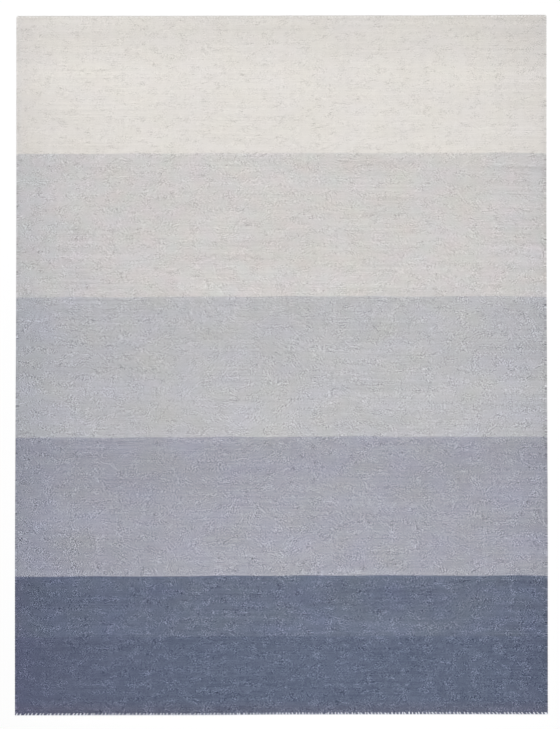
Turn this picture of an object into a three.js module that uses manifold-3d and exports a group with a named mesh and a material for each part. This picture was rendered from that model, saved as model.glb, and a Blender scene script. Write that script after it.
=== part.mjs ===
// A flat-woven wool kilim that lies flat on the floor. It is one cloth, woven in five bands from
// cream to slate, and each short end is overcast with a row of white cotton stitches.
//
// Millimetres. +X runs across the rug, along its weft. +Y runs along it, towards the cream end.
// +Z is up. The rug lies on Z = 0, and the origin is under the middle of its bounding box.

import * as THREE from "three";
import { mergeVertices } from "three/addons/utils/BufferGeometryUtils.js";
import Module from "manifold-3d";

// The cloth
const OVERALL_LENGTH = 2415; // over the stitches of both ends
const WIDTH_AT_LIGHT_END = 1825;
const WIDTH_AT_DARK_END = 1835;
const WIDENS_FROM = 600; // the Y at which the cloth starts to widen, seen from the light end
const WIDENS_TO = -600; // the Y from which it keeps its full width
const THICKNESS = 4.5;
const CORNER_RADIUS = 2.4;

// The overcasting, a comb of yarn that holds each end
const GAP = 0.3; // between pieces that touch
const YARN_DEPTH = 2.6; // how thick the yarn lies on the cut end
const STITCH_REACH = 10.4; // from the outermost line to the tip of a stitch
const STITCH_WIDTH = 5;
const STITCHES_PER_END = 154;
const STITCH_LAYER = 1; // how thick the stitches lie on the face and under the back
const STITCH_LEAN = 6.5; // how far the outermost stitch leans outwards over its reach
const CROWDING = 0.055; // how much closer the stitches stand in the middle than on average

// How densely the outlines are drawn
const END_STEPS = 30;
const SIDE_STEPS = 24;
const CORNER_STEPS = 4;

// Hand weaving leaves neither end straight. Each row says how far the end falls short of the
// overall length, at a place across the rug.
const LIGHT_END = {
  name: "light_end_overcast",
  towards: 1,
  line: [
    { across: -900, short: 3.2 },
    { across: -450, short: 3.0 },
    { across: -140, short: 2.4 },
    { across: 65, short: 1.8 },
    { across: 200, short: 1.4 },
    { across: 475, short: 1.5 },
    { across: 685, short: 0.7 },
    { across: 855, short: 0.0 },
  ],
};
const DARK_END = {
  name: "dark_end_overcast",
  towards: -1,
  line: [
    { across: -900, short: 0.0 },
    { across: -700, short: 0.2 },
    { across: -300, short: 0.7 },
    { across: 50, short: 2.9 },
    { across: 475, short: 3.6 },
  ],
};

const wool = new THREE.MeshStandardMaterial({ color: "#b0b0b6", roughness: 0.95, metalness: 0 });
const cotton = new THREE.MeshStandardMaterial({ color: "#e9e6df", roughness: 0.9, metalness: 0 });

const wasm = await Module();
wasm.setup();

// Half of the cloth's width at a place along it.
function halfWidth(y) {
  const widened = 1 - THREE.MathUtils.smoothstep(y, WIDENS_TO, WIDENS_FROM);
  return THREE.MathUtils.lerp(WIDTH_AT_LIGHT_END, WIDTH_AT_DARK_END, widened) / 2;
}

// How far an end falls short at x, eased from one row of its table to the next.
function shortfall(end, x) {
  const rows = end.line;
  const next = rows.findIndex((row) => row.across > x);
  if (next === 0) return rows[0].short;
  if (next < 0) return rows[rows.length - 1].short;
  const [from, to] = [rows[next - 1], rows[next]];
  const eased = THREE.MathUtils.smoothstep(x, from.across, to.across);
  return THREE.MathUtils.lerp(from.short, to.short, eased);
}

// The point at x on the line that lies the given depth inside an end.
function onEnd(end, x, depth) {
  return new THREE.Vector2(x, end.towards * (OVERALL_LENGTH / 2 - shortfall(end, x) - depth));
}

// The half width where an end's stitches are.
function endHalfWidth(end) {
  return halfWidth((end.towards * OVERALL_LENGTH) / 2);
}

// The line that lies the given depth inside an end, from left to right.
function endLine(end, depth) {
  const half = endHalfWidth(end);
  const points = [];
  for (let step = 0; step <= END_STEPS; step++) {
    points.push(onEnd(end, THREE.MathUtils.lerp(-half, half, step / END_STEPS), depth));
  }
  return points;
}

// The outermost line of an end, from left to right, with its two corners rounded.
function outermostLine(end) {
  const half = endHalfWidth(end);
  const corner = [];
  for (let step = 0; step <= CORNER_STEPS; step++) {
    const angle = (step / CORNER_STEPS) * (Math.PI / 2);
    corner.push({
      fromSide: CORNER_RADIUS * (1 - Math.sin(angle)),
      depth: CORNER_RADIUS * (1 - Math.cos(angle)),
    });
  }
  const left = corner.map((at) => onEnd(end, -half + at.fromSide, at.depth)).reverse();
  const right = corner.map((at) => onEnd(end, half - at.fromSide, at.depth));
  return [...left, ...endLine(end, 0).slice(1, -1), ...right];
}

// The two long sides between the lines that lie the given depth inside the ends, upwards.
function sidePoints(depth) {
  const points = [];
  const reach = OVERALL_LENGTH / 2 - depth;
  for (let step = 1; step < SIDE_STEPS; step++) {
    const y = THREE.MathUtils.lerp(-reach, reach, step / SIDE_STEPS);
    points.push(new THREE.Vector2(halfWidth(y), y));
  }
  return points;
}

// The cloth's outline where both ends are cut off at the given depth.
function clothOutline(depth) {
  const right = sidePoints(depth);
  const left = right.map((point) => new THREE.Vector2(-point.x, point.y)).reverse();
  return [...endLine(DARK_END, depth), ...right, ...endLine(LIGHT_END, depth).reverse(), ...left];
}

// A closed solid of an outline, from one height to another.
function slab(outline, bottom, top) {
  const geometry = new THREE.ExtrudeGeometry(new THREE.Shape(outline), {
    depth: top - bottom,
    bevelEnabled: false,
  });
  geometry.translate(0, 0, bottom);
  geometry.deleteAttribute("normal");
  geometry.deleteAttribute("uv");
  const merged = mergeVertices(geometry);
  const mesh = new wasm.Mesh({
    numProp: 3,
    vertProperties: new Float32Array(merged.attributes.position.array),
    triVerts: new Uint32Array(merged.index.array),
  });
  return new wasm.Manifold(mesh);
}

// A named mesh of a solid.
function meshOf(solid, name, material) {
  const { vertProperties, triVerts } = solid.getMesh();
  const geometry = new THREE.BufferGeometry();
  geometry.setAttribute("position", new THREE.BufferAttribute(vertProperties, 3));
  geometry.setIndex(new THREE.BufferAttribute(triVerts, 1));
  const mesh = new THREE.Mesh(geometry, material);
  mesh.name = name;
  return mesh;
}

// The cloth is full thickness between the stitches. Under them each end is pressed thinner.
function clothSolid() {
  const pressed = STITCH_LAYER + GAP;
  const body = slab(clothOutline(STITCH_REACH + GAP), 0, THICKNESS);
  const ends = slab(clothOutline(YARN_DEPTH + GAP), pressed, THICKNESS - pressed);
  return body.add(ends);
}

// The middle of a stitch. The stitches stand closer in the middle of the rug than at its corners.
function stitchMiddle(end, index) {
  const half = endHalfWidth(end) - STITCH_WIDTH;
  const t = (2 * index) / (STITCHES_PER_END - 1) - 1;
  return half * (t + CROWDING * (t ** 3 - t));
}

// The inner outline of a row of stitches, from left to right. Each stitch is rooted in the yarn
// that lies on the cut end, and leans outwards.
function stitchTips(end) {
  const half = endHalfWidth(end);
  const rootDepth = YARN_DEPTH / 2;
  const points = [onEnd(end, -half, YARN_DEPTH)];
  for (let index = 0; index < STITCHES_PER_END; index++) {
    const root = stitchMiddle(end, index);
    const tip = root - STITCH_LEAN * (root / half);
    points.push(
      onEnd(end, root - STITCH_WIDTH / 2, rootDepth),
      onEnd(end, tip - STITCH_WIDTH / 2, STITCH_REACH),
      onEnd(end, tip + STITCH_WIDTH / 2, STITCH_REACH),
      onEnd(end, root + STITCH_WIDTH / 2, rootDepth),
    );
  }
  points.push(onEnd(end, half, YARN_DEPTH));
  return points;
}

// The overcasting of one end: its yarn lies on the cut end, comes over the face as a comb of
// stitches, and runs under the back as a plain lip.
function overcastSolid(end) {
  const outer = outermostLine(end);
  const onCutEnd = slab([...outer, ...endLine(end, YARN_DEPTH).reverse()], 0, THICKNESS);
  const onFace = slab([...outer, ...stitchTips(end).reverse()], THICKNESS - STITCH_LAYER, THICKNESS);
  const underBack = slab([...outer, ...endLine(end, STITCH_REACH).reverse()], 0, STITCH_LAYER);
  return onCutEnd.add(onFace).add(underBack);
}

const rug = new THREE.Group();
rug.add(meshOf(clothSolid(), "kilim_cloth", wool));
for (const end of [LIGHT_END, DARK_END]) {
  rug.add(meshOf(overcastSolid(end), end.name, cotton));
}

export default rug;
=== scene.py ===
"""A flat-woven wool kilim that lies flat on the floor.

It is one cloth in five bands, from cream to slate. The weft turns round a cord at each long side,
and each short end is overcast with white cotton yarn. Metres, +X across the rug, +Y towards the
cream end, +Z up, with the floor at Z = 0.
"""

import math

import bpy
import numpy as np
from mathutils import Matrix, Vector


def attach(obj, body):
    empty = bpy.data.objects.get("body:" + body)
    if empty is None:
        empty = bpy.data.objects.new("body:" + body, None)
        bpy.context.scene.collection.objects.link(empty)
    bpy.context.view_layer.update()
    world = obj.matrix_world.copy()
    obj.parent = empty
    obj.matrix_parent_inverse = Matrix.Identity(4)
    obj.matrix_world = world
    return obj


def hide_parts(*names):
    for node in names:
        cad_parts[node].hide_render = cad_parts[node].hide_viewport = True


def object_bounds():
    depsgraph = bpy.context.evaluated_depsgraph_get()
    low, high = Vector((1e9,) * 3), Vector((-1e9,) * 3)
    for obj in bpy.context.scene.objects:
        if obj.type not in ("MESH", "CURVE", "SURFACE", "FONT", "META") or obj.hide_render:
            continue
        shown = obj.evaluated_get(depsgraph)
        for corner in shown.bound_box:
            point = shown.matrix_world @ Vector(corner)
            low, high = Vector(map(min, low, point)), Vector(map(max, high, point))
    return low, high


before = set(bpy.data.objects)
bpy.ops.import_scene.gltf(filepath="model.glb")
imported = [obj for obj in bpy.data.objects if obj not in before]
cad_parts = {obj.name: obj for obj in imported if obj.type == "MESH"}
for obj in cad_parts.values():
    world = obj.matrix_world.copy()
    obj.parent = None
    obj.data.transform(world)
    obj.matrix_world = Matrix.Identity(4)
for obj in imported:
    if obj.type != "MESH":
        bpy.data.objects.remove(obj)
CAD_LOW, CAD_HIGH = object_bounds()

bl_info = {
    "name": "Kilim Rug",
    "version": (1, 0, 0),
    "blender": (4, 5, 0),
    "location": "3D View > Sidebar > Kilim",
    "description": "Weaves a banded flat rug with turned selvedges and overcast ends",
    "category": "Add Mesh",
}

MM = 0.001

CLOTH = "woven_cloth"
LEFT_TURNS = "left_selvedge_turns"
RIGHT_TURNS = "right_selvedge_turns"
LIGHT_STITCHES = "light_end_stitches"
DARK_STITCHES = "dark_end_stitches"
WOOL = "heathered_wool_weft"
NATURAL = "natural_plied_cotton"
BLEACHED = "bleached_plied_cotton"

# The cloth widens from its light end to its dark end, between these places along it
WIDENS_FROM = 600 * MM
WIDENS_TO = -800 * MM
YARN_DEPTH = 2.1 * MM  # from the outermost line of an end to the cloth's cut edge
BOW = 1.4 * MM  # how far the picks in the middle of the rug are beaten off straight
BOW_AT_SIDES = -0.5  # as a share of that

# Hand work leaves neither end straight. Each row says how far the end falls short of the overall
# length, at a place across the rug, both in millimetres, and what share of the full reach its
# stitches have there. unsteady says how much its stitches vary.
LIGHT_END = {
    "towards": 1,
    "unsteady": 1.6,
    "line": [
        {"across": -917, "short": 6.5, "reach": 0.8},
        {"across": -906, "short": 3.2, "reach": 0.8},
        {"across": -450, "short": 3.0, "reach": 0.8},
        {"across": -140, "short": 2.4, "reach": 0.8},
        {"across": 65, "short": 1.8, "reach": 0.8},
        {"across": 200, "short": 1.4, "reach": 0.8},
        {"across": 475, "short": 1.4, "reach": 0.8},
        {"across": 685, "short": 0.4, "reach": 0.8},
        {"across": 855, "short": -0.5, "reach": 0.8},
        {"across": 906, "short": -0.5, "reach": 0.8},
        {"across": 917, "short": 2.0, "reach": 0.8},
    ],
}
DARK_END = {
    "towards": -1,
    "unsteady": 1.35,
    "line": [
        {"across": -900, "short": 0.0, "reach": 0.9},
        {"across": -700, "short": 0.2, "reach": 0.9},
        {"across": -300, "short": 0.7, "reach": 0.86},
        {"across": 50, "short": 2.9, "reach": 0.84},
        {"across": 250, "short": 3.3, "reach": 0.9},
        {"across": 475, "short": 3.6, "reach": 0.93},
    ],
}

# The rug never lies quite flat: soft swells lift it, and each has a length, a heading from +X and
# a phase, both in degrees
SWELLS = [
    {"length": 1150 * MM, "heading": 12, "phase": 40},
    {"length": 760 * MM, "heading": 76, "phase": 200},
    {"length": 540 * MM, "heading": -38, "phase": 95},
    {"length": 410 * MM, "heading": 50, "phase": 310},
]
SWELL_HEIGHT = 0.9 * MM

# The picks and ribs wander too, by this much to either side
WANDERS = [
    {"length": 520 * MM, "heading": 8, "phase": 15},
    {"length": 330 * MM, "heading": -14, "phase": 250},
    {"length": 250 * MM, "heading": 3, "phase": 120},
]
PICK_WANDER = 1.8 * MM
RIB_WANDER = 0.35 * MM

# Half of the cloth's section where the weft turns round the selvedge cord, from the edge to the
# groove beside the first rib: how far in, and how far above and below the middle of the thickness
SELVEDGE_CORE = [
    {"inset": 1.1 * MM, "rise": 0.0 * MM},
    {"inset": 1.8 * MM, "rise": 0.7 * MM},
    {"inset": 3.5 * MM, "rise": 1.1 * MM},
    {"inset": 5.8 * MM, "rise": 1.1 * MM},
    {"inset": 7.6 * MM, "rise": 1.0 * MM},
]
RIBS_FROM = 8.4 * MM

# The weft's turns round that cord: an oval path, and the yarn's own half thickness
CORD_MIDDLE = 3.65 * MM
CORD_HALF_WIDTH = 3.5 * MM
CORD_HALF_HEIGHT = 1.7 * MM
TURN_HALF_THICKNESS = 0.55 * MM
TURNS_PER_BEAD = 4
BEAD_CROWN = 0.3 * MM
TURN_CHANCE = 0.1 * MM
TURN_SECTIONS = 10
TURN_SIDES = 6
TURN_TAPER = [(15, 0.6), (80, 1), (280, 1), (345, 0.6)]  # degrees round the cord, and how thick

# In picks: half of a turn's width, how far it slants, leans to the middle of its bead and strays
TURN_HALF_WIDTH = 0.56
TURN_SLANT = 0.25
BEAD_LEAN = 0.2
TURN_STRAY = 0.06

# Under the stitches the cloth is pressed thinner, and it swells back beyond them
PRESSED_UNTIL = 6.5 * MM
SWOLLEN_FROM = 10 * MM
PRESSED_SHARE = 0.42
END_ROWS = [0 * MM, 3.5 * MM, 6.5 * MM, 10 * MM, 24 * MM]
MIDDLE_ROWS = 27

# Each rib is drawn in steps, more on the face than under the back
FACE_STEPS = 4
BACK_STEPS = 2
RIB_ROUNDNESS = 0.6  # 1 is a plain wave, and less is fuller
RIB_CHANCE = 0.06  # how much the ribs vary in width

# Chance is drawn from fixed seeds, so that each run gives the same rug
RIB_SEED = 7
TURN_SEED = 11
STITCH_SEED = 23

# The maps for baking keep this far from the edges of their square
BAKE_LOW = 0.004
BAKE_HIGH = 0.996

# The bands, and where each starts from the light end, in millimetres. Each yarn is spun from darker
# and lighter fibres. heather says how far they lie apart and left what share of that is kept near
# the left selvedge. frost says which of them stand out (above 0 the light ones, below 0 the dark),
# and grain how much each float differs from its neighbours, with the painted light and shade of its
# relief. red and blue say how unevenly those dyes took, and sides names the table below of painted
# fall-off of light and the sides' own tints.
BANDS = [
    {
        "dye": "cream", "starts": 0,
        "heather": 0.17, "left": 1, "frost": -0.4, "grain": 0.77,
        "red": 0.25, "blue": 0.24, "sides": "cream",
    },
    {
        "dye": "pale_grey", "starts": 477.2,
        "heather": 0.275, "left": 1, "frost": -0.08, "grain": 1.27,
        "red": 1.3, "blue": 0.42, "sides": "greys",
    },
    {
        "dye": "grey", "starts": 971.3,
        "heather": 0.335, "left": 1, "frost": -0.01, "grain": 1.47,
        "red": 0.5, "blue": 0.55, "sides": "greys",
    },
    {
        "dye": "blue_grey", "starts": 1455.8,
        "heather": 0.41, "left": 0.95, "frost": 0.02, "grain": 1.49,
        "red": 0.6, "blue": 0.64, "sides": "greys",
    },
    {
        "dye": "slate", "starts": 1934.7,
        "heather": 0.65, "left": 0.8, "frost": 0.13, "grain": 1.32,
        "red": 0.65, "blue": 0.8, "sides": "slate",
    },
    {
        "dye": "deep_slate", "starts": 2143.5,
        "heather": 0.665, "left": 0.75, "frost": 0.16, "grain": 1.32,
        "red": 0.33, "blue": 0.15, "sides": "deep_slate",
    },
]

# Abrash, the slow change of depth within one dye: its brightness at each place from the light end,
# in millimetres. The last picks at the dark end are warmer too.
ABRASH = {
    0: 0.983,
    34: 0.974,
    46: 0.953,
    125: 0.973,
    200: 1.02,
    300: 0.99,
    475: 0.985,
    500: 0.965,
    790: 0.993,
    965: 1.01,
    985: 0.96,
    1190: 0.975,
    1300: 1.015,
    1436: 1.005,
    1452: 1.03,
    1465: 0.97,
    1520: 0.94,
    1600: 0.96,
    1700: 1.0,
    1908: 1.0,
    1919: 1.04,
    1935: 1.05,
    1943: 0.97,
    2025: 0.925,
    2075: 1.0,
    2128: 1.02,
    2142: 0.975,
    2147: 1.01,
    2162: 0.95,
    2178: 0.985,
    2364: 0.99,
    2392: 0.975,
}
LAST_PICKS_TINT = (1.09, 1.0, 0.975)

# Painted light and shade across the rug, together with the wool's own deeper sides: the tint at each
# place from the left selvedge, in millimetres. Towards the selvedges it paints the fall-off of the
# studio light, darker there and bluer in some bands and redder in others, and the cream band gets a
# painted lift of light a little way in from its left side.
PAINTED_SIDE_FALLOFF_AND_TINTS = {
    "cream": {
        9: (0.956, 0.96, 0.98),
        20: (0.98, 0.976, 0.985),
        65: (0.995, 0.992, 0.993),
        105: (1.01, 1.01, 1.013),
        150: (1.027, 1.026, 1.027),
        400: (1.02, 1.02, 1.018),
        620: (1.005, 1.005, 1.005),
        1000: (1.0, 1.0, 1.0),
        1640: (1.01, 1.01, 1.01),
        1725: (0.993, 0.992, 0.997),
        1810: (0.983, 0.981, 0.99),
        1825: (0.961, 0.965, 0.979),
    },
    "greys": {
        9: (0.9, 0.92, 0.965),
        20: (0.925, 0.945, 0.99),
        65: (0.927, 0.945, 0.989),
        105: (0.953, 0.968, 1.007),
        150: (0.98, 0.987, 1.018),
        220: (0.986, 0.993, 1.018),
        300: (1.005, 1.006, 1.022),
        620: (1.015, 1.014, 1.015),
        900: (1.008, 1.006, 1.005),
        1150: (0.995, 0.995, 0.993),
        1450: (0.993, 0.993, 0.993),
        1640: (0.995, 0.996, 1.006),
        1725: (0.985, 0.988, 1.01),
        1810: (0.95, 0.957, 0.982),
        1825: (0.915, 0.92, 0.935),
    },
    "slate": {
        9: (0.958, 0.9, 0.974),
        20: (0.952, 0.93, 1.003),
        65: (0.9, 0.905, 0.963),
        105: (0.926, 0.942, 1.012),
        150: (0.966, 0.978, 1.035),
        300: (0.978, 0.983, 1.015),
        620: (0.978, 0.978, 0.99),
        1000: (1.0, 1.0, 1.0),
        1640: (1.02, 1.02, 1.02),
        1725: (0.985, 0.988, 1.0),
        1770: (0.945, 0.95, 0.99),
        1810: (0.94, 0.948, 0.985),
        1825: (0.915, 0.92, 0.935),
    },
    "deep_slate": {
        9: (1.045, 0.955, 1.045),
        20: (1.042, 0.98, 1.067),
        65: (1.053, 1.002, 1.067),
        150: (1.05, 1.006, 1.04),
        300: (1.025, 1.0, 1.025),
        620: (0.988, 0.988, 0.993),
        1000: (1.0, 1.0, 1.0),
        1450: (1.02, 1.02, 1.02),
        1600: (1.045, 1.045, 1.045),
        1700: (1.04, 1.037, 1.043),
        1770: (1.038, 1.017, 1.037),
        1810: (1.005, 0.998, 1.015),
        1825: (0.955, 0.96, 0.965),
    },
}

# The cotton yarn of the ends, three plies laid flat by tension
PLIES = 3
PLY_SIDES = 8
PLY_TWIST = 10 * MM  # along the yarn, for one turn of the plies
PLY_OFFSET = [0.5, 0.42]  # from the yarn's middle, across and up, as shares of its half size
PLY_HALF_SIZE = [0.53, 0.6]  # shares of it too
STITCH_HALF_WIDTH = 2.25 * MM
STITCH_HALF_HEIGHT = 0.9 * MM
STITCH_TAPER = [1.05, 0.7]  # its width at its root and at its tip, as shares of that
YARN_UNDER = 0.95 * MM  # the height of its middle under the back
YARN_OVER = 3.9 * MM  # and over the face
TURN_DEPTH = 2.4 * MM  # from the outermost line to where it starts to turn round the cut edge
TURN_RADIUS = 1.35 * MM
TURN_STEPS = 9

# A stitch's path, as shares of its reach where it runs under the back and over the face, and how
# far it rises over the face in millimetres
BACK_RUN = [1, 0.7, 0.42]
FACE_RUN = [0.34, 0.46, 0.58, 0.7, 0.82, 0.92, 1]
FACE_RISE = [0.1, 0.15, 0.15, 0, -0.4, -1.2, -2.2]

# Where the stitches stand, and how much chance there is in it
STITCH_MARGIN = 5 * MM  # from a corner of the rug to its first stitch
CROWDING = 0.055  # how much closer the stitches stand in the middle than on average
FASTENING_STITCHES = 2  # extra ones close together, where the yarn is fastened off
FASTENING_PITCH = 3.2 * MM
PLACE_CHANCE = 0.7 * MM
LEAN_CHANCE = 1.1 * MM
REACH_CHANCE = 0.7 * MM
WIDTH_CHANCE = 0.12

# The yarn that links the stitches along the cut edge
EDGE_YARN_HALF = 0.65 * MM
EDGE_YARN_DEPTH = 2.0 * MM
EDGE_YARN_STEP = 1.7 * MM
EDGE_YARN_PULL = 0.25 * MM  # how far each stitch draws it in
YARN_APART = 0.3  # how far apart two plies lie in the map of their slubs

# The marks that vary the mix of fibres from float to float of the weft: their size in millimetres,
# across the rug and along it, and how strongly they shift it
STREAKS = [
    {"across": 19, "along": 2.1, "detail": 0, "shift": 1.18},  # short
    {"across": 42, "along": 2.3, "detail": 1, "shift": 0.73},  # long
]
MOTTLES = [
    {"across": 500, "along": 3.1, "detail": 0, "shift": 0.62},  # whole picks
    {"across": 60, "along": 22, "detail": 1, "shift": 0.29},  # blotches
    {"across": 260, "along": 120, "detail": 1, "shift": 0.28},  # a slow drift
]

# The grain of single flecks, two to a float. Each takes some of the shift of its neighbours, a
# number of flecks across and of picks along, with the other sign, so that light and dark
# alternate. The flecks are the wool's own tone, and the other sign on their neighbours is painted
# light and shade on the relief of each float. On the diagonal both shares multiply, so that neither
# diagonal stands out.
FLECKS_PER_FLOAT = 2
GRAIN_AND_PAINTED_RELIEF = [
    {"flecks": 0, "picks": 0, "shift": 2.0},
    {"flecks": 0, "picks": 1, "shift": -0.5},
    {"flecks": 2, "picks": 0, "shift": -0.92},
    {"flecks": 2, "picks": 1, "shift": 0.23},
]
UNDYED = 0.44  # how near its darker and lighter fibres are to grey

# Grain and streaks are quiet in some patches of the cloth and lively in others
PATCHES = {"across": 42, "along": 24, "detail": 1}
QUIET_BELOW = 0.35
LIVELY_ABOVE = 0.65
QUIET = 0.3
LIVELY = 1.4

# Near the left selvedge the dark yarns are more even, up to here, and like the rest from here
EVEN_UNTIL = 120 * MM
MIXED_FROM = 420 * MM

# The dye takes a little unevenly, in marks of these sizes in millimetres
HUES = [
    {
        "dye": "red", "across": 80, "along": 55, "detail": 1,
        "warm": (1.024, 0.988, 1, 1), "cool": (0.976, 1.012, 1, 1),
    },
    {
        "dye": "blue", "across": 135, "along": 90, "detail": 1,
        "warm": (1, 1, 0.9, 1), "cool": (1, 1, 1.1, 1),
    },
]
# Painted shade where each float dives into the cloth: the share of its colour left in the valleys
VALLEY_SHADE = 0.8
PICK_RELIEF = 0.4 * MM

# Single fibres of the wool, and slubs and fibres of the cotton, which lie along its plies
WOOL_FIBRE_LENGTH = 2.2 * MM
WOOL_FIBRE_WIDTH = 0.3 * MM
WOOL_FIBRE_RELIEF = 0.3  # as a share of the relief of a float
SLUB_LENGTH = 6 * MM
SLUBS_ROUND_PLY = 1.5
COTTON_FIBRE_LENGTH = 1.6 * MM
COTTON_FIBRES_ROUND_PLY = 14
COTTON_FIBRE_RELIEF = 0.12 * MM
COTTON_SHADES = [0.9, 1.06]  # the darkest and lightest of its slubs, as shares of the dye

# The stage
FLOOR_RADIUS = 30
FLOOR_SIDES = 96
FLOOR_DROP = 0.05 * MM  # below the rug, so that the two don't flicker
PAPER_GLOW = 0.843
FILL_LIGHT = 0.353
SOFTBOXES = [
    {"name": "strip", "at": (-0.5, 1.207, 1.695), "size": (5.0, 0.2), "turned": -10.7, "watts": 40.5},
    {"name": "key", "at": (0.16, -1.185, 2.254), "size": (1.0, 1.0), "turned": 0, "watts": 36.5},
]

# Where the photograph was taken from: straight above, 85 mm lens, 2.51 m of floor top to bottom
LENS = 85
SENSOR = 36
FLOOR_SEEN = 2.510
CAMERA_X = -4.8 * MM
CAMERA_Y = 2.6 * MM
CLIP_END = 100


def linear(hex_colour):
    """An sRGB hex colour as three linear values."""
    levels = [int(hex_colour[i:i + 2], 16) / 255 for i in (1, 3, 5)]
    return [v / 12.92 if v <= 0.04045 else ((v + 0.055) / 1.055) ** 2.4 for v in levels]


def length_setting(name, description, default):
    """A length of the rug that a user can change."""
    return bpy.props.FloatProperty(
        name=name, description=description, default=default, unit="LENGTH", precision=4
    )


def dye_setting(name, description, hex_colour):
    """A yarn's colour that a user can change."""
    return bpy.props.FloatVectorProperty(
        name=name, description=description, default=linear(hex_colour), subtype="COLOR"
    )


class KilimSizes(bpy.types.PropertyGroup):
    """The sizes that a weaver would choose"""

    length: length_setting("Length", "Over the stitches of both ends", CAD_HIGH.y - CAD_LOW.y)
    light_end_width: length_setting("Width at the light end", "Over both selvedges", 1825 * MM)
    dark_end_width: length_setting(
        "Width at the dark end", "Over both selvedges", CAD_HIGH.x - CAD_LOW.x
    )
    thickness: length_setting("Thickness", "From the floor to the crest of a rib", 4.5 * MM)
    rib_pitch: length_setting("Rib pitch", "From one warp to the next", 3.97 * MM)
    rib_height: length_setting(
        "Rib height", "From the valley between two warps to the crest over one", 0.5 * MM
    )
    pick_pitch: length_setting(
        "Pick pitch", "Along one rib, from one weft float to the next", 2.4 * MM
    )
    stitches: bpy.props.IntProperty(
        name="Stitches", description="Stitches in the overcasting of one end", default=154, min=2
    )
    stitch_reach: length_setting(
        "Stitch reach", "From the outermost line of an end to its longest stitches' tips", 10.4 * MM
    )
    stitch_lean: length_setting(
        "Stitch lean", "How far the outermost stitch leans outwards over its reach", 6.5 * MM
    )


class KilimDyes(bpy.types.PropertyGroup):
    """The colours of the yarns"""

    cream: dye_setting("Cream", "The band at the light end", "#dbd7d2")
    pale_grey: dye_setting("Pale grey", "The second band", "#ccc9c7")
    grey: dye_setting("Grey", "The third band", "#bbbbbe")
    blue_grey: dye_setting("Blue grey", "The fourth band", "#a4a5af")
    slate: dye_setting("Slate", "The first dye lot of the fifth band", "#697184")
    deep_slate: dye_setting("Deep slate", "The second dye lot of the fifth band", "#5d667b")
    natural_cotton: dye_setting("Natural cotton", "The overcasting of the light end", "#dfddda")
    bleached_cotton: dye_setting("Bleached cotton", "The overcasting of the dark end", "#ebeef6")


def smooth_step(x, low, high):
    """0 below low, 1 above high, and eased between them."""
    t = np.clip((x - low) / (high - low), 0, 1)
    return t * t * (3 - 2 * t)


def waves(table, x, y):
    """The mean of a table's waves at x, y, from -1 to 1."""
    total = 0
    for wave in table:
        heading = math.radians(wave["heading"])
        way = x * math.cos(heading) + y * math.sin(heading)
        total = total + np.cos(2 * math.pi * way / wave["length"] + math.radians(wave["phase"]))
    return total / len(table)


def half_width(sizes, y):
    """Half of the rug's width at a place along it."""
    widened = 1 - smooth_step(y, WIDENS_TO, WIDENS_FROM)
    return (sizes.light_end_width + (sizes.dark_end_width - sizes.light_end_width) * widened) / 2


def on_line(end, column, x):
    """A column of an end's table at x, eased from one row to the next."""
    at = np.array([row["across"] for row in end["line"]]) * MM
    values = np.array([row[column] for row in end["line"]])
    after = np.clip(np.searchsorted(at, x, side="right"), 1, len(at) - 1)
    step = smooth_step(x, at[after - 1], at[after])
    return values[after - 1] + (values[after] - values[after - 1]) * step


def end_y(sizes, end, x, depth):
    """The y of the line that lies the given depth inside an end."""
    return end["towards"] * (sizes.length / 2 - on_line(end, "short", x) * MM - depth)


def lift(x, y):
    """How high the underside lies above the floor."""
    return SWELL_HEIGHT * (1 + waves(SWELLS, x, y)) / 2


def cut_length(sizes):
    """The cloth's length between its cut edges."""
    return sizes.length - 2 * YARN_DEPTH


def on_cloth(sizes, side, inset, along, height):
    """Points of the cloth. side runs from -1 at the left selvedge to 1 at the right one, inset is
    measured inwards from there, and along runs from 0 at the dark cut edge to 1 at the light one."""
    near = side * (sizes.dark_end_width / 2 - inset)
    dark = end_y(sizes, DARK_END, near, YARN_DEPTH)
    light = end_y(sizes, LIGHT_END, near, YARN_DEPTH)
    bow = BOW * (1 + (BOW_AT_SIDES - 1) * (2 * near / sizes.dark_end_width) ** 2)
    y = dark + (light - dark) * along + bow * (1 - (2 * along - 1) ** 4)
    x = side * (half_width(sizes, y) - inset)
    x = x + RIB_WANDER * waves(WANDERS, y, x) * (1 - side ** 8)
    from_end = np.minimum(along, 1 - along) * cut_length(sizes)
    share = PRESSED_SHARE + (1 - PRESSED_SHARE) * smooth_step(from_end, PRESSED_UNTIL, SWOLLEN_FROM)
    middle = sizes.thickness / 2
    z = middle + (height - middle) * share + lift(x, y)
    return np.stack(np.broadcast_arrays(x, y, z), axis=-1)


def make_piece(name, points, faces, maps, material_name):
    """A smooth mesh object that rides on the rug's one body. maps holds the UV maps by name, with
    a pair for each corner of each face."""
    mesh = bpy.data.meshes.new(name)
    mesh.from_pydata(points.reshape(-1, 3).tolist(), [], faces)
    for map_name, corners in maps.items():
        layer = mesh.uv_layers.new(name=map_name)
        layer.data.foreach_set("uv", np.asarray(corners, np.float32).ravel())
    mesh.polygons.foreach_set("use_smooth", np.ones(len(mesh.polygons), bool))
    mesh.materials.append(bpy.data.materials[material_name])
    if mesh.validate():
        raise RuntimeError(f"{name} has faces that can't be kept")
    piece = bpy.data.objects.new(name, mesh)
    bpy.context.scene.collection.objects.link(piece)
    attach(piece, "root")
    return piece


def grid_quads(rows, columns):
    """The faces of a grid of points that is stored row by row."""
    row, column = np.meshgrid(np.arange(rows - 1), np.arange(columns - 1), indexing="ij")
    first = (row * columns + column).ravel()
    return np.stack([first, first + 1, first + columns + 1, first + columns], axis=-1)


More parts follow.
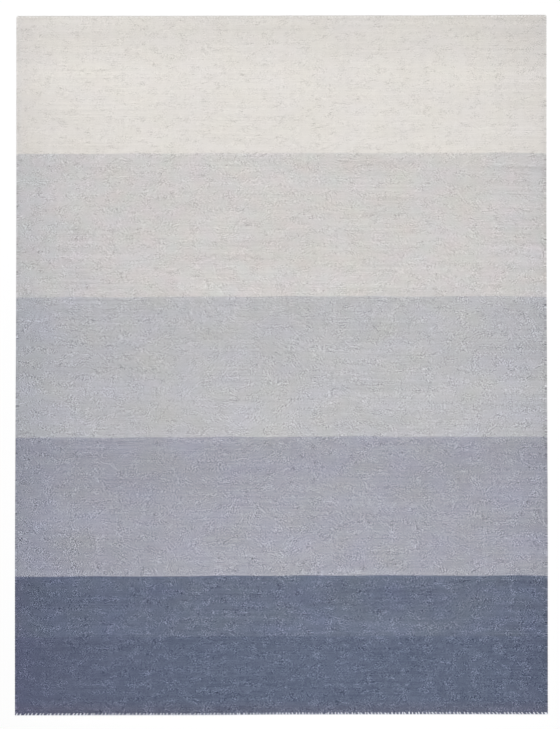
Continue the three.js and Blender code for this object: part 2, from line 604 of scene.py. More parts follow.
def rib_edges(sizes, count):
    """Where each rib starts across the cloth, from -1 to 1. No two ribs are quite as wide."""
    widths = 1 + RIB_CHANCE * np.random.RandomState(RIB_SEED).standard_normal(count)
    return np.concatenate([[0], np.cumsum(widths)]) / widths.sum() * 2 - 1


def rib_count(sizes):
    """An even number of ribs, so that the brickwork of the weave starts alike at both selvedges."""
    return 2 * round((sizes.dark_end_width / 2 - RIBS_FROM) / sizes.rib_pitch)


def pick_count(sizes):
    """How many floats lie along one rib."""
    return round(cut_length(sizes) / sizes.pick_pitch)


def face_columns(sizes, steps, upward):
    """One face of the cloth's section: the side, inset, height and rib number of each column."""
    middle = sizes.thickness / 2
    count = rib_count(sizes)
    edges = rib_edges(sizes, count)
    rib = np.arange(count * steps + 1) / steps
    side = np.interp(rib, np.arange(count + 1), edges)
    hump = np.abs(np.sin(math.pi * rib)) ** RIB_ROUNDNESS
    rise = middle - sizes.rib_height * (1 - hump)
    inset = np.array([row["inset"] for row in SELVEDGE_CORE])
    core = np.array([row["rise"] for row in SELVEDGE_CORE])
    ones = np.ones(len(core))
    core_rib = (inset - RIBS_FROM) / sizes.rib_pitch
    columns = {
        "side": np.concatenate([-ones, side, ones]),
        "inset": np.concatenate([inset, np.full(len(side), RIBS_FROM), inset[::-1]]),
        "rise": np.concatenate([core, rise, core[::-1]]),
        "rib": np.concatenate([core_rib, rib, count - core_rib[::-1]]),
    }
    columns["height"] = middle + upward * columns["rise"]
    return columns


def cloth_rows(sizes):
    """The rows of the cloth's mesh, from 0 at the dark cut edge to 1 at the light one. They are
    closer where the stitches press it."""
    near = np.array(END_ROWS) / cut_length(sizes)
    between = np.linspace(near[-1], 1 - near[-1], MIDDLE_ROWS + 1)
    return np.concatenate([near[:-1], between, 1 - near[-2::-1]])


def cloth_mesh(sizes):
    """Points, faces and UV maps of the whole cloth, both faces and cut edges, as one closed mesh."""
    face = face_columns(sizes, FACE_STEPS, 1)
    back = face_columns(sizes, BACK_STEPS, -1)
    rows = cloth_rows(sizes)[:, None]
    points, weave = [], []
    picks = pick_count(sizes)
    for columns in (face, back):
        placed = on_cloth(sizes, columns["side"], columns["inset"], rows, columns["height"])
        points.append(placed)
        wander = PICK_WANDER / sizes.pick_pitch * waves(WANDERS, placed[..., 0], placed[..., 1])
        rib = np.broadcast_to(columns["rib"], wander.shape)
        weave.append(np.stack([rib, rows * picks + wander], axis=-1))
    face_count, back_count = points[0].shape[1], points[1].shape[1]

    # The two faces share their outermost columns
    row_count = len(rows)
    width = face_count + back_count - 2
    merged = np.concatenate([points[0], points[1][:, 1:-1]], axis=1)
    weave = np.concatenate([weave[0], weave[1][:, 1:-1]], axis=1).reshape(-1, 2)
    face_index = np.arange(face_count)
    back_index = face_count - 1 + np.arange(back_count)
    back_index[0] = 0
    back_index[-1] = face_count - 1

    # Each map for baking has the face over most of the square, and the back squeezed below it
    across = [np.linspace(BAKE_LOW, BAKE_HIGH, n) for n in (face_count, back_count)]
    along = rows[:, 0]
    up = grid_quads(row_count, face_count)
    down = grid_quads(row_count, back_count)
    faces, corners = [], []
    for quads, index, count, low, high, flip in (
        (up, face_index, face_count, 0.235, BAKE_HIGH, False),
        (down, back_index, back_count, BAKE_LOW, 0.205, True),
    ):
        row, column = np.divmod(quads, count)
        bake = np.stack([across[int(flip)][column], low + (high - low) * along[row]], axis=-1)
        vertices = row * width + index[column]
        faces += (vertices[:, ::-1] if flip else vertices).tolist()
        corners.append((bake[:, ::-1] if flip else bake).reshape(-1, 2))

    # The cut edges join each step of the back to the steps of the face above it
    core = len(SELVEDGE_CORE)
    above = np.concatenate([
        np.arange(core),
        core + FACE_STEPS // BACK_STEPS * np.arange(back_count - 2 * core),
        face_count - core + np.arange(core),
    ])
    for row, low, high in ((0, 0.210, 0.218), (row_count - 1, 0.222, 0.230)):
        for step in range(back_count - 1):
            top = list(range(above[step], above[step + 1] + 1))
            ring = [(face_index[c], across[0][c], high) for c in top]
            ring += [(back_index[c], across[1][c], low) for c in (step + 1, step)]
            if step == 0:
                ring.pop()
            if step == back_count - 2:
                ring.pop(len(top))
            if row == 0:
                ring.reverse()
            faces.append([row * width + int(vertex) for vertex, _, _ in ring])
            corners.append(np.array([[u, v] for _, u, v in ring]))
    bake = np.concatenate(corners)
    loops = np.concatenate([np.asarray(f) for f in faces])
    return merged, faces, {"weave": weave[loops], "OFBake": bake}


def tubes(centre, side, up, sides):
    """Points and faces of closed tubes. centre holds their centrelines, tube by section, and side
    and up hold half of their width and height as vectors."""
    count, sections = centre.shape[:2]
    turn = 2 * math.pi * np.arange(sides) / sides
    ring = np.cos(turn)[:, None] * side[:, :, None] + np.sin(turn)[:, None] * up[:, :, None]
    points = centre[:, :, None] + ring
    corners = tube_corners(count, sections, sides)
    place = corners["tube"] * sections + corners["section"]
    vertex = place * sides + corners["step"] % sides
    walls = count * (sections - 1) * sides * 4
    faces = vertex[:walls].reshape(-1, 4).tolist() + vertex[walls:].reshape(-1, sides).tolist()
    return points, faces


def tube_corners(count, sections, sides):
    """The tube, section and step round it of each face corner: all walls, then all end caps."""
    section = np.arange(sections - 1)[:, None, None] + np.array([0, 0, 1, 1])
    step = np.arange(sides)[:, None] + np.array([0, 1, 1, 0])
    wall = np.stack(np.broadcast_arrays(section, step), axis=-1).reshape(-1, 2)
    ring = np.arange(sides)
    starts = np.stack([0 * ring, ring[::-1]], axis=-1)
    ends = np.stack([0 * ring + sections - 1, ring], axis=-1)
    cap = np.concatenate([starts, ends])
    tube = np.arange(count)
    pairs = np.concatenate([np.tile(wall, (count, 1)), np.tile(cap, (count, 1))])
    return {
        "tube": np.concatenate([np.repeat(tube, len(wall)), np.repeat(tube, len(cap))]),
        "section": pairs[:, 0],
        "step": pairs[:, 1],
        "cap": np.arange(len(pairs)) >= count * len(wall),
    }


def unrolled(corners, columns, low, high):
    """A map for baking that unrolls each tube in a cell of its own, with a small disc at each end
    for its caps. The cells stand in columns, in the part of the square from low to high."""
    count = corners["tube"].max() + 1
    low, high = np.array(low), np.array(high)
    lines = math.ceil(count / columns)
    cell = (high - low) / np.array([columns, lines])
    corner = low + np.stack([corners["tube"] % columns, corners["tube"] // columns], axis=-1) * cell
    along = corners["section"] / corners["section"].max()
    around = corners["step"] / corners["step"].max()
    wall = np.stack([0.1 + 0.8 * along, 0.04 + 0.92 * around], axis=-1)
    turn = 2 * math.pi * corners["step"] / corners["step"].max()
    middle = np.stack([0.05 + 0.9 * along, np.full(len(along), 0.5)], axis=-1)
    disc = middle + 0.035 * np.stack([np.cos(turn), np.sin(turn)], axis=-1)
    return corner + np.where(corners["cap"][:, None], disc, wall) * cell


def turn_mesh(sizes, side):
    """The weft's turns round one selvedge cord. They stand in beads of a few turns each."""
    picks = pick_count(sizes)
    chance = np.random.RandomState(TURN_SEED + side)
    turn = np.arange(picks)[:, None]
    in_bead = (turn % TURNS_PER_BEAD + 0.5) / TURNS_PER_BEAD * 2 - 1
    proud = BEAD_CROWN * (0.5 - in_bead ** 2) + TURN_CHANCE * chance.standard_normal((picks, 1))
    degrees, thick = zip(*TURN_TAPER)
    angle = np.radians(np.linspace(degrees[0], degrees[-1], TURN_SECTIONS))
    inset = CORD_MIDDLE + (CORD_HALF_WIDTH + proud) * np.cos(angle)
    rise = (CORD_HALF_HEIGHT + proud / 2) * np.sin(angle)

    # Each turn comes from one pick and goes back as the next, and leans to the middle of its bead
    shift = 0.5 - BEAD_LEAN * in_bead + TURN_STRAY * chance.standard_normal((picks, 1))
    slant = np.linspace(TURN_SLANT, -TURN_SLANT, TURN_SECTIONS)
    centre = on_cloth(sizes, side, inset, (turn + shift + slant) / picks, sizes.thickness / 2 + rise)
    taper = np.interp(angle, np.radians(degrees), thick)[:, None]
    outward = np.stack([-side * np.cos(angle), 0 * angle, np.sin(angle)], axis=-1)
    up = np.broadcast_to(outward * taper * TURN_HALF_THICKNESS, centre.shape)
    along_rug = np.array([0, -side * TURN_HALF_WIDTH * sizes.pick_pitch, 0])
    points, faces = tubes(centre, np.broadcast_to(along_rug * taper, centre.shape), up, TURN_SIDES)

    # The weave map gives each turn one pick of an even rib outside the cloth, so that it takes the
    # colour of its own weft
    rib = -1.5 if side < 0 else rib_count(sizes) + 0.5
    rib = rib + 0.3 * np.linspace(-1, 1, TURN_SECTIONS)[:, None]
    # Round each turn the map stays near the middle of a pick, so the painted valley shade darkens it
    # only a little
    across_turn = 0.25 * np.cos(2 * math.pi * np.arange(TURN_SIDES) / TURN_SIDES)
    pick = turn[:, :, None] + 0.5 - side * across_turn
    weave = np.stack(np.broadcast_arrays(rib, pick), axis=-1).reshape(-1, 2)
    loops = np.concatenate([np.asarray(face) for face in faces])
    corners = tube_corners(picks, TURN_SECTIONS, TURN_SIDES)
    bake = unrolled(corners, 32, (BAKE_LOW, BAKE_LOW), (BAKE_HIGH, BAKE_HIGH))
    return points, faces, {"weave": weave[loops], "OFBake": bake}


def plied(centre, across, upward, half_size, start):
    """The plies of yarns that tension lays flat: their centrelines, and half of their width and
    height as vectors. across and upward are unit vectors, and half_size is the yarn's."""
    step = np.linalg.norm(np.diff(centre, axis=1), axis=-1)
    length = np.concatenate([np.zeros((len(centre), 1)), step.cumsum(axis=1)], axis=1)
    half_across, half_up = half_size
    found = []
    for ply in range(PLIES):
        phase = (2 * math.pi * (length / PLY_TWIST + ply / PLIES) + start)[..., None]
        offset = across * np.cos(phase) * half_across * PLY_OFFSET[0]
        offset = offset + upward * np.sin(phase) * half_up * PLY_OFFSET[1]
        side = across * half_across * PLY_HALF_SIZE[0]
        found.append((centre + offset, side, upward * half_up * PLY_HALF_SIZE[1]))
    return [np.concatenate(part) for part in zip(*found)]


def stitch_places(sizes, end, chance):
    """The x of each stitch's root on the cut edge, and of its tip."""
    half = half_width(sizes, end["towards"] * sizes.length / 2)
    t = np.linspace(-1, 1, sizes.stitches)
    root = (half - STITCH_MARGIN) * (t + CROWDING * (t ** 3 - t))
    if end is DARK_END:
        extra = np.arange(FASTENING_STITCHES) * FASTENING_PITCH
        root = np.append(root, half - STITCH_HALF_WIDTH - extra)
    root = root + PLACE_CHANCE * end["unsteady"] * chance.standard_normal(len(root))
    root = np.clip(root, STITCH_HALF_WIDTH - half, half - STITCH_HALF_WIDTH)
    lean = LEAN_CHANCE * end["unsteady"] * chance.standard_normal(len(root))
    return root, root - sizes.stitch_lean * root / half - lean


def stitch_path(end, chance, reach):
    """How deep and how high the yarn of each stitch runs: from its tip under the back, round the
    cut edge, and over the face to its tip, where it goes into the cloth."""
    uneven = REACH_CHANCE * end["unsteady"] * chance.standard_normal(len(reach))
    reach = (reach + uneven)[:, None]
    angle = np.radians(np.linspace(-90, 90, TURN_STEPS))
    back = reach * np.array(BACK_RUN)
    turned = TURN_DEPTH - TURN_RADIUS * np.cos(angle) + 0 * reach
    face = reach * np.array(FACE_RUN)
    middle = (YARN_UNDER + YARN_OVER) / 2
    round_edge = middle + (YARN_OVER - YARN_UNDER) / 2 * np.sin(angle)
    over_face = YARN_OVER + np.array(FACE_RISE) * MM
    height = np.concatenate([np.full(len(back[0]), YARN_UNDER), round_edge, over_face])
    depth = np.concatenate([back, turned, face], axis=1)
    return depth, np.broadcast_to(height, depth.shape)


def stitches(sizes, end):
    """The plies of one end's stitches."""
    chance = np.random.RandomState(STITCH_SEED + end["towards"])
    root, tip = stitch_places(sizes, end, chance)
    depth, height = stitch_path(end, chance, sizes.stitch_reach * on_line(end, "reach", root))
    share = np.clip((depth - YARN_DEPTH) / (sizes.stitch_reach - YARN_DEPTH), 0, None)
    x = root[:, None] + (tip - root)[:, None] * share
    y = end_y(sizes, end, x, depth)
    centre = np.stack([x, y, height + lift(x, y)], axis=-1)
    way = np.gradient(centre, axis=1)
    way /= np.linalg.norm(way, axis=-1, keepdims=True)
    spread = np.array([1, 0, 0]) - way * way[..., :1]
    spread /= np.linalg.norm(spread, axis=-1, keepdims=True)
    start = chance.uniform(0, 2 * math.pi, (len(root), 1))
    pulled = np.interp(depth, [YARN_DEPTH, sizes.stitch_reach], STITCH_TAPER)[..., None]
    pulled = pulled * (1 + WIDTH_CHANCE * chance.standard_normal((len(root), 1, 1)))
    half_size = (STITCH_HALF_WIDTH * pulled, STITCH_HALF_HEIGHT)
    return plied(centre, spread, np.cross(way, spread), half_size, start)


def edge_yarn(sizes, end):
    """The plies of the yarn that lies along the cut edge and links the stitches."""
    half = half_width(sizes, end["towards"] * sizes.length / 2) - EDGE_YARN_HALF
    x = np.linspace(-half, half, round(2 * half / EDGE_YARN_STEP) + 1)[None]
    drawn_in = EDGE_YARN_PULL * np.sin(math.pi * x / half * sizes.stitches)
    y = end_y(sizes, end, x, EDGE_YARN_DEPTH + drawn_in)
    centre = np.stack([x, y, sizes.thickness / 2 + lift(x, y)], axis=-1)
    outward = np.broadcast_to([0, end["towards"], 0], centre.shape)
    upward = np.broadcast_to([0, 0, 1], centre.shape)
    return plied(centre, outward, upward, (EDGE_YARN_HALF, EDGE_YARN_HALF * 1.2), 0)


def stitch_mesh(sizes, end):
    """The overcasting of one end, its stitches and the yarn that links them."""
    parts = (
        (stitches(sizes, end), 18, (BAKE_LOW, BAKE_LOW), (BAKE_HIGH, 0.86)),
        (edge_yarn(sizes, end), 1, (BAKE_LOW, 0.88), (BAKE_HIGH, BAKE_HIGH)),
    )
    all_points, all_faces, yarn, bake = [], [], [], []
    offset = 0
    for plies, columns, low, high in parts:
        points, faces = tubes(*plies, PLY_SIDES)
        all_faces += [[vertex + offset for vertex in face] for face in faces]
        offset += points.size // 3
        all_points.append(points.reshape(-1, 3))
        corners = tube_corners(*plies[0].shape[:2], PLY_SIDES)
        along = corners["section"] * EDGE_YARN_STEP + corners["tube"] * YARN_APART
        yarn.append(np.stack([along, corners["step"] / PLY_SIDES], axis=-1))
        bake.append(unrolled(corners, columns, low, high))
    maps = {"yarn": np.concatenate(yarn), "OFBake": np.concatenate(bake)}
    return np.concatenate(all_points), all_faces, maps


# What the nodes of a material do with their inputs, and a noise in one plane
MULTIPLY = {"operation": "MULTIPLY"}
MULTIPLY_ADD = {"operation": "MULTIPLY_ADD"}
ADD = {"operation": "ADD"}
SUBTRACT = {"operation": "SUBTRACT"}
DIVIDE = {"operation": "DIVIDE"}
FLOOR = {"operation": "FLOOR"}
FLAT_NOISE = {"noise_dimensions": "2D"}


def add_node(tree, kind, settings=None, inputs=None, stops=()):
    """Adds a node with its settings, and its inputs as values or links. A node stands for its
    first output in use. stops are a colour ramp's places and colours."""
    node = tree.nodes.new(kind)
    for name, value in (settings or {}).items():
        setattr(node, name, value)
    for name, value in (inputs or {}).items():
        socket = node.inputs[name]
        if isinstance(name, str):
            socket = next(s for s in node.inputs if s.name == name and s.enabled)
        if isinstance(value, bpy.types.Node):
            value = next(s for s in value.outputs if s.enabled)
        if isinstance(value, bpy.types.NodeSocket):
            tree.links.new(value, socket)
        else:
            socket.default_value = value
    for index, (place, colour) in enumerate(stops):
        elements = node.color_ramp.elements
        stop = elements[index] if index < 2 else elements.new(place)
        stop.position = place
        stop.color = (*colour, 1)
    return node


def new_tree(name):
    """The empty node tree of a new material."""
    material = bpy.data.materials.new(name)
    material.use_nodes = True
    material.node_tree.nodes.clear()
    return material.node_tree


def from_dark_end(sizes, from_light_end):
    """A place measured from the light end's outermost line, in millimetres, as a share of the
    cloth's length."""
    return min(1, max(0, 1 - (from_light_end * MM - YARN_DEPTH) / cut_length(sizes)))


def float_noise(tree, sizes, weft_float, mark):
    """A soft noise that is even over each float of the weft, with marks of the given size."""
    scale = (sizes.rib_pitch / MM / mark["across"], sizes.pick_pitch / MM / mark["along"], 0)
    place = add_node(tree, "ShaderNodeVectorMath", MULTIPLY, {0: weft_float, 1: scale})
    inputs = {"Vector": place, "Scale": 1, "Detail": mark["detail"], "Roughness": 0.5}
    return add_node(tree, "ShaderNodeTexNoise", FLAT_NOISE, inputs)


def add_shift(tree, noise, shift, total):
    """Adds a noise to a total, evened about 0 and times its shift."""
    even = add_node(tree, "ShaderNodeMath", SUBTRACT, {0: noise, 1: 0.5})
    return add_node(tree, "ShaderNodeMath", MULTIPLY_ADD, {0: even, 1: shift, 2: total})


def mark_sum(tree, sizes, weft_float, marks, total):
    """Adds the shift of each mark to a total."""
    for mark in marks:
        noise = float_noise(tree, sizes, weft_float, mark)
        total = add_shift(tree, noise, mark["shift"], total)
    return total


def by_band(tree, begun, kind, values):
    """The value of the band that a float lies in. values holds one for each band, and begun says
    for each band past the first whether it has begun."""
    found = values[0]
    for reached, value in zip(begun, values[1:]):
        inputs = {"Factor": reached, "A": found, "B": value}
        found = add_node(tree, "ShaderNodeMix", {"data_type": kind}, inputs)
    return found


def wool_material(sizes, dyes):
    """Heathered wool, dyed and spun from darker and lighter fibres, beaten down so tightly that it
    hides the warp. To the eye it is matt, with a soft bloom of fibre ends at low angles, and each
    float of weft over a rib has a shade of its own."""
    tree = new_tree(WOOL)
    thread = add_node(tree, "ShaderNodeUVMap", {"uv_map": "weave"})
    thread = add_node(tree, "ShaderNodeSeparateXYZ", inputs={0: thread})
    across, along = thread.outputs["X"], thread.outputs["Y"]

    # In plain weave the floats of odd ribs lie half a pick further along
    rib = add_node(tree, "ShaderNodeMath", FLOOR, {0: across})
    odd = add_node(tree, "ShaderNodeMath", {"operation": "FLOORED_MODULO"}, {0: rib, 1: 2})
    shifted = add_node(tree, "ShaderNodeMath", MULTIPLY_ADD, {0: odd, 1: 0.5, 2: along})
    pick = add_node(tree, "ShaderNodeMath", FLOOR, {0: shifted})
    weft_float = add_node(tree, "ShaderNodeCombineXYZ", inputs={"X": rib, "Y": pick})

    # The bands, told apart at the middle of each float, so that they meet float by float
    middle = add_node(tree, "ShaderNodeMath", MULTIPLY_ADD, {0: odd, 1: -0.5, 2: pick})
    middle = add_node(tree, "ShaderNodeMath", ADD, {0: middle, 1: 0.5})
    share = add_node(tree, "ShaderNodeMath", DIVIDE, {0: middle, 1: pick_count(sizes)})
    begun = [
        add_node(
            tree, "ShaderNodeMath", {"operation": "LESS_THAN"},
            {0: share, 1: from_dark_end(sizes, band["starts"])},
        )
        for band in BANDS[1:]
    ]
    yarn = by_band(tree, begun, "RGBA", [(*getattr(dyes, band["dye"]), 1) for band in BANDS])
    heather, left, frost, grain = [
        by_band(tree, begun, "FLOAT", [band[name] for band in BANDS])
        for name in ("heather", "left", "frost", "grain")
    ]

    # The place across the rug, as a share of its ribs
    ribs = rib_count(sizes)
    width_share = add_node(tree, "ShaderNodeMath", DIVIDE, {0: rib, 1: ribs})
    ribbed_width = ribs * sizes.rib_pitch
    kept = add_node(
        tree, "ShaderNodeMapRange", {"interpolation_type": "SMOOTHSTEP"},
        {
            "Value": width_share, "From Min": (EVEN_UNTIL - RIBS_FROM) / ribbed_width,
            "From Max": (MIXED_FROM - RIBS_FROM) / ribbed_width, "To Min": left, "To Max": 1,
        },
    )
    heather = add_node(tree, "ShaderNodeMath", MULTIPLY, {0: heather, 1: kept})

    # Grain and streaks, stronger in some patches than in others
    flecks = add_node(tree, "ShaderNodeMath", MULTIPLY, {0: across, 1: FLECKS_PER_FLOAT})
    flecks = add_node(tree, "ShaderNodeMath", FLOOR, {0: flecks})
    fleck = add_node(tree, "ShaderNodeCombineXYZ", inputs={"X": flecks, "Y": pick})
    fine = 0
    # The other sign on each fleck's neighbours paints light and shade on the relief of the floats
    for speck in GRAIN_AND_PAINTED_RELIEF:
        offset = (speck["flecks"], speck["picks"], 0)
        place = add_node(tree, "ShaderNodeVectorMath", ADD, {0: fleck, 1: offset})
        noise = add_node(tree, "ShaderNodeTexWhiteNoise", FLAT_NOISE, {"Vector": place})
        fine = add_shift(tree, noise, speck["shift"], fine)
    fine = add_node(tree, "ShaderNodeMath", MULTIPLY, {0: fine, 1: grain})
    fine = mark_sum(tree, sizes, weft_float, STREAKS, fine)
    patch = float_noise(tree, sizes, weft_float, PATCHES)
    strength = add_node(
        tree, "ShaderNodeMapRange", {},
        {
            "Value": patch, "From Min": QUIET_BELOW, "From Max": LIVELY_ABOVE,
            "To Min": QUIET, "To Max": LIVELY,
        },
    )
    fine = add_node(tree, "ShaderNodeMath", MULTIPLY, {0: fine, 1: strength})
    skew = add_node(tree, "ShaderNodeMath", MULTIPLY_ADD, {0: fine, 1: frost, 2: 1})
    fine = add_node(tree, "ShaderNodeMath", MULTIPLY, {0: fine, 1: skew})
    tone = mark_sum(tree, sizes, weft_float, MOTTLES, fine)
    depth = add_node(tree, "ShaderNodeMath", MULTIPLY, {0: tone, 1: heather})
    grey = add_node(tree, "ShaderNodeRGBToBW", inputs={0: yarn})
    blend = {"Factor": UNDYED, "A": yarn, "B": grey}
    fibres = add_node(tree, "ShaderNodeMix", {"data_type": "RGBA"}, blend)
    inputs = {0: fibres, 1: depth, 2: yarn}
    yarn = add_node(tree, "ShaderNodeVectorMath", MULTIPLY_ADD, inputs)

    # Abrash, the uneven take of the dye, and painted light and shade across the rug with the sides'
    # own tints
    abrash = [(from_dark_end(sizes, at), [level] * 3) for at, level in reversed(ABRASH.items())]
    last_place, last_colour = abrash[0]
    abrash[0] = (last_place, [level * tint for level, tint in zip(last_colour, LAST_PICKS_TINT)])
    depth = add_node(tree, "ShaderNodeValToRGB", {}, {"Fac": share}, abrash)
    yarn = add_node(tree, "ShaderNodeVectorMath", MULTIPLY, {0: yarn, 1: depth})
    for mark in HUES:
        noise = float_noise(tree, sizes, weft_float, mark)
        uneven = by_band(tree, begun, "FLOAT", [band[mark["dye"]] for band in BANDS])
        blend = {"Factor": add_shift(tree, noise, uneven, 0.5), "A": mark["warm"], "B": mark["cool"]}
        hue = add_node(tree, "ShaderNodeMix", {"data_type": "RGBA"}, blend)
        yarn = add_node(tree, "ShaderNodeVectorMath", MULTIPLY, {0: yarn, 1: hue})
    # Painted fall-off of the light towards the sides, with the sides' own tints, one ramp for each
    # group of bands
    sides = {}
    for name, rows in PAINTED_SIDE_FALLOFF_AND_TINTS.items():
        stops = [((at * MM - RIBS_FROM) / ribbed_width, tint) for at, tint in rows.items()]
        sides[name] = add_node(tree, "ShaderNodeValToRGB", {}, {"Fac": width_share}, stops)
    shade = by_band(tree, begun, "RGBA", [sides[band["sides"]] for band in BANDS])
    yarn = add_node(tree, "ShaderNodeVectorMath", MULTIPLY, {0: yarn, 1: shade})

    # Each float is a rounded grain, highest in its middle, with painted shade where it dives into the
    # cloth
    hump = None
    for place in (across, shifted):
        part = add_node(tree, "ShaderNodeMath", {"operation": "FRACT"}, {0: place})
        part = add_node(tree, "ShaderNodeMath", MULTIPLY, {0: part, 1: math.pi})
        part = add_node(tree, "ShaderNodeMath", {"operation": "SINE"}, {0: part})
        if hump:
            part = add_node(tree, "ShaderNodeMath", MULTIPLY, {0: part, 1: hump})
        hump = part
    hump = add_node(tree, "ShaderNodeMath", {"operation": "POWER"}, {0: hump, 1: 0.5})
    shade = add_node(tree, "ShaderNodeMapRange", {}, {"Value": hump, "To Min": VALLEY_SHADE})
    yarn = add_node(tree, "ShaderNodeVectorMath", {"operation": "SCALE"}, {0: yarn, "Scale": shade})

    # Fibres run along the weft, finer than the render shows but seen from near
    weave = add_node(tree, "ShaderNodeUVMap", {"uv_map": "weave"})
    scale = (sizes.rib_pitch / WOOL_FIBRE_LENGTH, sizes.pick_pitch / WOOL_FIBRE_WIDTH, 0)
    fine = add_node(tree, "ShaderNodeVectorMath", MULTIPLY, {0: weave, 1: scale})
    fibre = add_node(tree, "ShaderNodeTexNoise", FLAT_NOISE, {"Vector": fine, "Scale": 1, "Detail": 2})
    relief = add_node(tree, "ShaderNodeMath", MULTIPLY_ADD, {0: fibre, 1: WOOL_FIBRE_RELIEF, 2: hump})
    relief = {"Strength": 1, "Distance": PICK_RELIEF, "Height": relief}
    bump = add_node(tree, "ShaderNodeBump", {}, relief)
    surface = add_node(
        tree, "ShaderNodeBsdfPrincipled", {},
        {
            "Base Color": yarn,
            "Roughness": 0.95,
            "IOR": 1.5,
            "Specular IOR Level": 0.25,
            "Sheen Weight": 0.2,
            "Sheen Roughness": 0.5,
            "Normal": bump,
        },
    )
    add_node(tree, "ShaderNodeOutputMaterial", {}, {"Surface": surface})


def cotton_material(name, dye):
    """Cotton spun and plied hard, so it is smoother and cleaner than the wool, with fine slubs and
    fibres that lie along each ply."""
    tree = new_tree(name)
    place = add_node(tree, "ShaderNodeUVMap", {"uv_map": "yarn"})
    scale = (1 / SLUB_LENGTH, SLUBS_ROUND_PLY, 0)
    slub = add_node(tree, "ShaderNodeVectorMath", MULTIPLY, {0: place, 1: scale})
    slub = add_node(tree, "ShaderNodeTexNoise", FLAT_NOISE, {"Vector": slub, "Scale": 1})
    darker, lighter = [[min(v * shade, 1) for v in dye] + [1] for shade in COTTON_SHADES]
    shades = {"Factor": slub, "A": darker, "B": lighter}
    colour = add_node(tree, "ShaderNodeMix", {"data_type": "RGBA"}, shades)
    scale = (1 / COTTON_FIBRE_LENGTH, COTTON_FIBRES_ROUND_PLY, 0)
    fine = add_node(tree, "ShaderNodeVectorMath", MULTIPLY, {0: place, 1: scale})
    fibre = add_node(tree, "ShaderNodeTexNoise", FLAT_NOISE, {"Vector": fine, "Scale": 1, "Detail": 2})
    relief = {"Strength": 1, "Distance": COTTON_FIBRE_RELIEF, "Height": fibre}
    bump = add_node(tree, "ShaderNodeBump", {}, relief)
    surface = add_node(
        tree, "ShaderNodeBsdfPrincipled", {},
        {"Base Color": colour, "Roughness": 0.85, "IOR": 1.5, "Sheen Weight": 0.1, "Normal": bump},
    )
    add_node(tree, "ShaderNodeOutputMaterial", {}, {"Surface": surface})


def paper_material():
    """A white sweep lit from behind, so that it is an even white up to the edge of the rug."""
    tree = new_tree("lit_paper_sweep")
    surface = add_node(
        tree, "ShaderNodeBsdfPrincipled", {},
        {
            "Base Color": (0.15, 0.15, 0.15, 1),
            "Roughness": 1,
            "Specular IOR Level": 0,
            "Emission Color": (1, 1, 1, 1),
            "Emission Strength": PAPER_GLOW,
        },
    )
    add_node(tree, "ShaderNodeOutputMaterial", {}, {"Surface": surface})


class KILIM_OT_dye_yarns(bpy.types.Operator):
    """Make the wool and cotton materials from the dyes"""

    bl_idname = "kilim.dye_yarns"
    bl_label = "Dye the yarns"

    def execute(self, context):
        wool_material(context.scene.kilim_sizes, context.scene.kilim_dyes)
        cotton_material(NATURAL, context.scene.kilim_dyes.natural_cotton)
        cotton_material(BLEACHED, context.scene.kilim_dyes.bleached_cotton)
        return {"FINISHED"}


class KILIM_OT_weave_cloth(bpy.types.Operator):
    """Weave the banded cloth with its ribs and selvedge cords"""

    bl_idname = "kilim.weave_cloth"
    bl_label = "Weave the cloth"

    def execute(self, context):
        cloth = make_piece(CLOTH, *cloth_mesh(context.scene.kilim_sizes), WOOL)
        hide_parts("kilim_cloth")
        return {"FINISHED"}


class KILIM_OT_turn_selvedges(bpy.types.Operator):
    """Turn the weft round the cord at each long side"""

    bl_idname = "kilim.turn_selvedges"
    bl_label = "Turn the selvedges"

    def execute(self, context):
        for name, side in ((LEFT_TURNS, -1), (RIGHT_TURNS, 1)):
            turns = make_piece(name, *turn_mesh(context.scene.kilim_sizes, side), WOOL)
        return {"FINISHED"}


class KILIM_OT_overcast_ends(bpy.types.Operator):
    """Overcast both short ends with cotton yarn"""

    bl_idname = "kilim.overcast_ends"
    bl_label = "Overcast the ends"

    def execute(self, context):
        ends = (
            (LIGHT_STITCHES, LIGHT_END, NATURAL, "light_end_overcast"),
            (DARK_STITCHES, DARK_END, BLEACHED, "dark_end_overcast"),
        )
        for name, end, yarn, node in ends:
            stitched = make_piece(name, *stitch_mesh(context.scene.kilim_sizes, end), yarn)
            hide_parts(node)
        return {"FINISHED"}


class KILIM_OT_lay_rug(bpy.types.Operator):
    """Leave the rug as the steps before laid it on the floor"""

    bl_idname = "kilim.lay_rug"
    bl_label = "Lay the rug"

    def execute(self, context):
        return {"FINISHED"}


class KILIM_OT_set_stage(bpy.types.Operator):
    """Set the floor, the soft lights and the camera straight above the rug"""

    bl_idname = "kilim.set_stage"
    bl_label = "Set the stage"

    def execute(self, context):
        scene = context.scene
        paper_material()
        add_floor(scene)
        add_world(scene)
        for light in SOFTBOXES:
            add_softbox(scene, light)
        add_camera(scene)
        scene.view_settings.view_transform = "Standard"
        return {"FINISHED"}


class VIEW3D_PT_kilim(bpy.types.Panel):
    """Sizes, dyes and steps of the rug"""

    bl_label = "Kilim Rug"
    bl_space_type = "VIEW_3D"
    bl_region_type = "UI"
    bl_category = "Kilim"

    def draw(self, context):
        for title, group in (("Sizes", context.scene.kilim_sizes), ("Dyes", context.scene.kilim_dyes)):
            box = self.layout.box()
            box.label(text=title)
            for name in type(group).__annotations__:
                box.prop(group, name)
        for step in STEPS:
            self.layout.operator(step.bl_idname)


STEPS = [
    KILIM_OT_dye_yarns,
    KILIM_OT_weave_cloth,
    KILIM_OT_turn_selvedges,
    KILIM_OT_overcast_ends,
    KILIM_OT_lay_rug,
    KILIM_OT_set_stage,
]
CLASSES = [KilimSizes, KilimDyes, *STEPS, VIEW3D_PT_kilim]


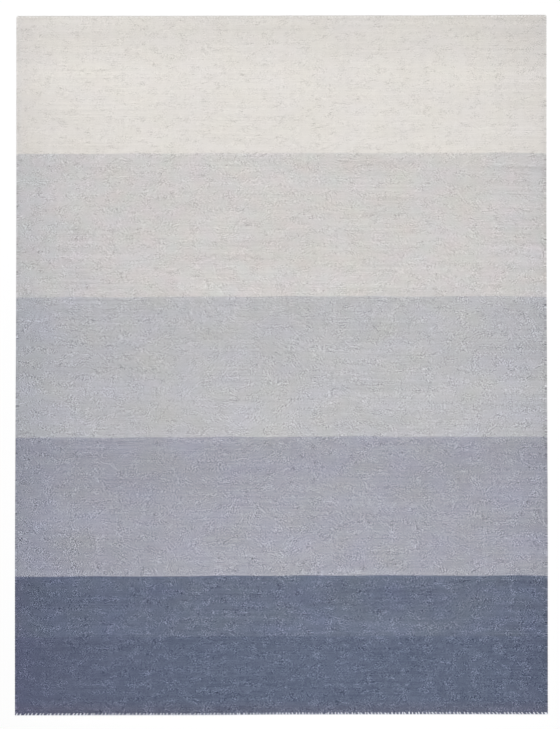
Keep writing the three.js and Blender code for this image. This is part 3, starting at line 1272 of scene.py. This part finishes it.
def add_floor(scene):
    """A large round sheet of paper just under the rug."""
    turn = np.linspace(0, 2 * math.pi, FLOOR_SIDES, endpoint=False)
    rim = np.stack([np.cos(turn), np.sin(turn), 0 * turn], axis=-1) * FLOOR_RADIUS
    mesh = bpy.data.meshes.new("paper_floor")
    mesh.from_pydata((rim - [0, 0, FLOOR_DROP]).tolist(), [], [list(range(len(turn)))])
    mesh.materials.append(bpy.data.materials["lit_paper_sweep"])
    floor = bpy.data.objects.new("paper_floor", mesh)
    scene.collection.objects.link(floor)


def add_world(scene):
    """Even white light from all round."""
    world = bpy.data.worlds.new("studio_fill")
    world.use_nodes = True
    world.node_tree.nodes["Background"].inputs["Color"].default_value = (1, 1, 1, 1)
    world.node_tree.nodes["Background"].inputs["Strength"].default_value = FILL_LIGHT
    scene.world = world


def add_softbox(scene, light):
    """One soft rectangular light that faces straight down."""
    name = light["name"] + "_softbox"
    data = bpy.data.lights.new(name, "AREA")
    data.shape = "RECTANGLE"
    data.size, data.size_y = light["size"]
    data.energy = light["watts"]
    box = bpy.data.objects.new(name, data)
    box.location = light["at"]
    box.rotation_euler = (0, 0, math.radians(light["turned"]))
    box.visible_camera = False
    scene.collection.objects.link(box)


def add_camera(scene):
    """The camera, straight above the rug."""
    data = bpy.data.cameras.new("camera_above")
    data.lens = LENS
    data.sensor_width = SENSOR
    data.clip_end = CLIP_END
    camera = bpy.data.objects.new("camera_above", data)
    height = LENS / SENSOR * FLOOR_SEEN + scene.kilim_sizes.thickness
    camera.location = (CAMERA_X, CAMERA_Y, height)
    scene.collection.objects.link(camera)
    scene.camera = camera


def register():
    for cls in CLASSES:
        bpy.utils.register_class(cls)
    bpy.types.Scene.kilim_sizes = bpy.props.PointerProperty(type=KilimSizes)
    bpy.types.Scene.kilim_dyes = bpy.props.PointerProperty(type=KilimDyes)


def unregister():
    del bpy.types.Scene.kilim_dyes
    del bpy.types.Scene.kilim_sizes
    for cls in reversed(CLASSES):
        bpy.utils.unregister_class(cls)


def main():
    register()
    bpy.ops.kilim.dye_yarns()
    bpy.ops.kilim.weave_cloth()
    bpy.ops.kilim.turn_selvedges()
    bpy.ops.kilim.overcast_ends()
    bpy.ops.kilim.lay_rug()
    bpy.ops.kilim.set_stage()


if __name__ == "__main__":
    main()
